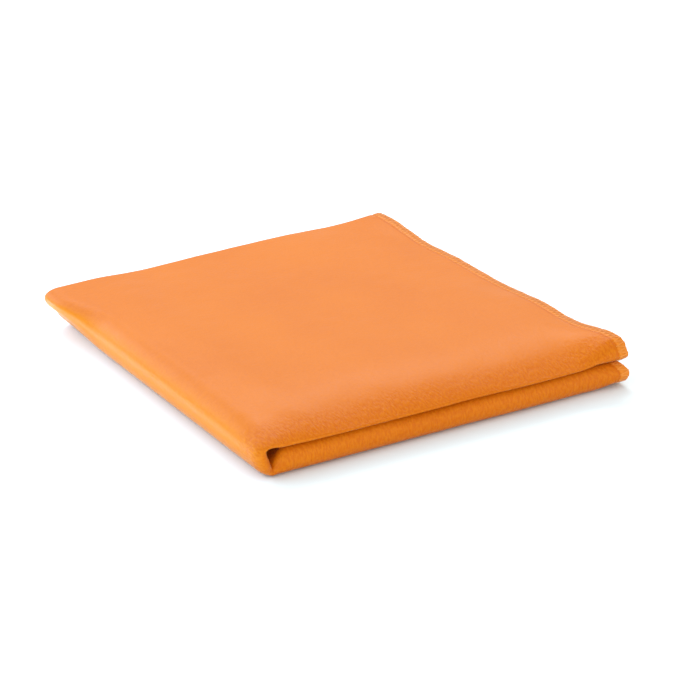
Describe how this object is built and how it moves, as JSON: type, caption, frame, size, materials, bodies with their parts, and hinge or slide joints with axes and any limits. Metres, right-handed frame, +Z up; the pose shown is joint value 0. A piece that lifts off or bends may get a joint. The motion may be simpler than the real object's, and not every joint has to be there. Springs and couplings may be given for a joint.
{
  "type": "quick dry towel",
  "caption": "Rectangular quick dry microfibre towel with overlocked edges, folded into a low square stack that opens like a book at its last fold.",
  "frame": {"origin": "centre of the folded stack's footprint, on the face it rests on", "axes": "+Z up through the plies, +X along the front rolls away from the main fold, +Y from the front rolls to the back"},
  "size_m": [0.1896, 0.2012, 0.022],
  "materials": {
    "cloth": "matte sueded microfibre",
    "overlock_thread": "matte polyester thread"
  },
  "bodies": {
    "lower_half": {"lower_outer_ply": "cloth", "lower_second_ply": "cloth", "lower_third_ply": "cloth", "lower_inner_ply": "cloth", "lower_front_roll": "cloth", "lower_inner_roll": "cloth", "lower_back_fold": "cloth", "lower_third_ply_end_overlock": "overlock_thread", "lower_inner_ply_end_overlock": "overlock_thread", "lower_side_overlock": "overlock_thread", "main_fold_outer_ply": "cloth", "main_fold_second_ply": "cloth", "main_fold_third_ply": "cloth", "main_fold_inner_ply": "cloth", "main_fold_front_roll": "cloth", "main_fold_inner_roll": "cloth", "main_fold_back_fold": "cloth", "main_fold_third_ply_end_overlock": "overlock_thread", "main_fold_inner_ply_end_overlock": "overlock_thread"},
    "upper_half": {"upper_outer_ply": "cloth", "upper_second_ply": "cloth", "upper_third_ply": "cloth", "upper_inner_ply": "cloth", "upper_front_roll": "cloth", "upper_inner_roll": "cloth", "upper_back_fold": "cloth", "upper_third_ply_end_overlock": "overlock_thread", "upper_inner_ply_end_overlock": "overlock_thread", "upper_side_overlock": "overlock_thread"}
  },
  "joints": [
    {"name": "main_fold_opening", "type": "hinge", "parent": "lower_half", "child": "upper_half", "pos_m": [-0.0933, 0, 0.011], "axis": [0, -1, 0], "range_deg": [0, 180], "deforming": ["main_fold_outer_ply", "main_fold_second_ply", "main_fold_third_ply", "main_fold_inner_ply", "main_fold_front_roll", "main_fold_inner_roll", "main_fold_back_fold", "main_fold_third_ply_end_overlock", "main_fold_inner_ply_end_overlock"]}
  ]
}
